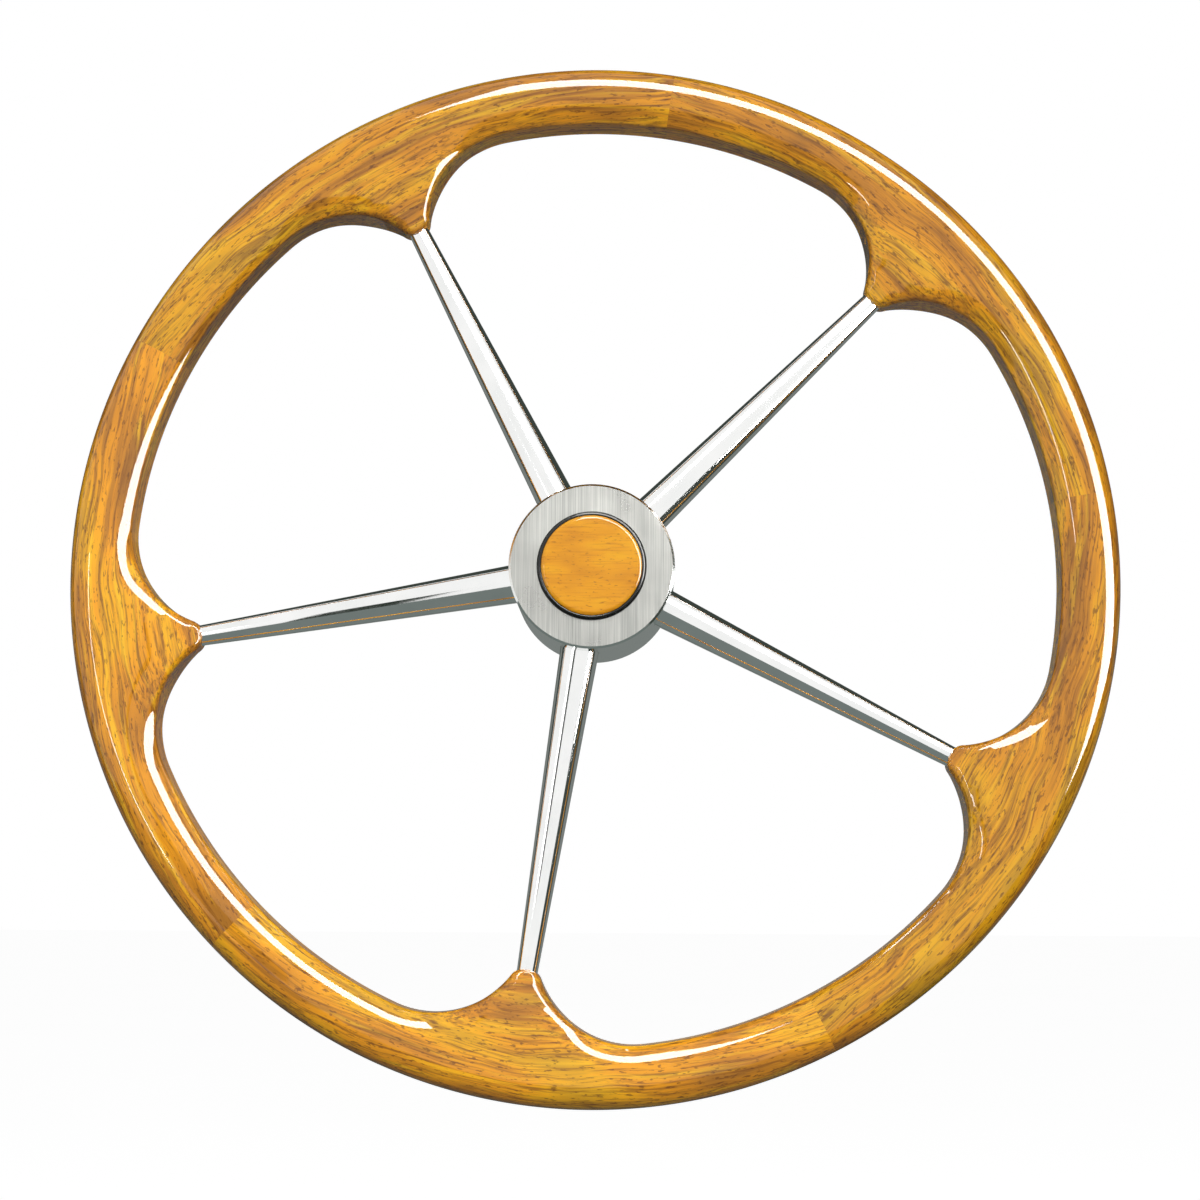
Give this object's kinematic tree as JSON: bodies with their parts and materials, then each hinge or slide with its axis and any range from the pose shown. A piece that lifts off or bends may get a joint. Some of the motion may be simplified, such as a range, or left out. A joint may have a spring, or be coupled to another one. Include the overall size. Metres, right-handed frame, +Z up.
{
  "type": "boat steering wheel",
  "caption": "Marine steering wheel: varnished wooden rim with a cusp at each tapered stainless spoke, a steel drum hub bored for a tapered helm shaft, and a wooden centre cap",
  "frame": {"origin": "on the shaft axis, in the middle plane of the rim, inside the hub's shaft taper", "axes": "+Y is the shaft axis and points away from the driver, the front faces -Y, +Z is up and +X is to the driver's right"},
  "size_m": [0.4, 0.0524, 0.4],
  "materials": {
    "rim_wood": "gloss varnish",
    "spoke_steel": "polished",
    "hub_steel": "satin front, polished side",
    "disc_wood": "gloss varnish",
    "cap_plastic": "turned black plastic",
    "seal_rubber": "moulded",
    "tongue_wood": "bare, glued in"
  },
  "bodies": {
    "root": {"rim_segment_1": "rim_wood", "rim_segment_2": "rim_wood", "rim_segment_3": "rim_wood", "rim_segment_4": "rim_wood", "rim_segment_5": "rim_wood", "spoke_1": "spoke_steel", "spoke_2": "spoke_steel", "spoke_3": "spoke_steel", "spoke_4": "spoke_steel", "spoke_5": "spoke_steel", "hub": "hub_steel", "cap_disc": "disc_wood", "cap_cup": "cap_plastic", "cap_o_ring": "seal_rubber", "joint_tongue_1": "tongue_wood", "joint_tongue_2": "tongue_wood", "joint_tongue_3": "tongue_wood", "joint_tongue_4": "tongue_wood", "joint_tongue_5": "tongue_wood"}
  },
  "joints": []
}
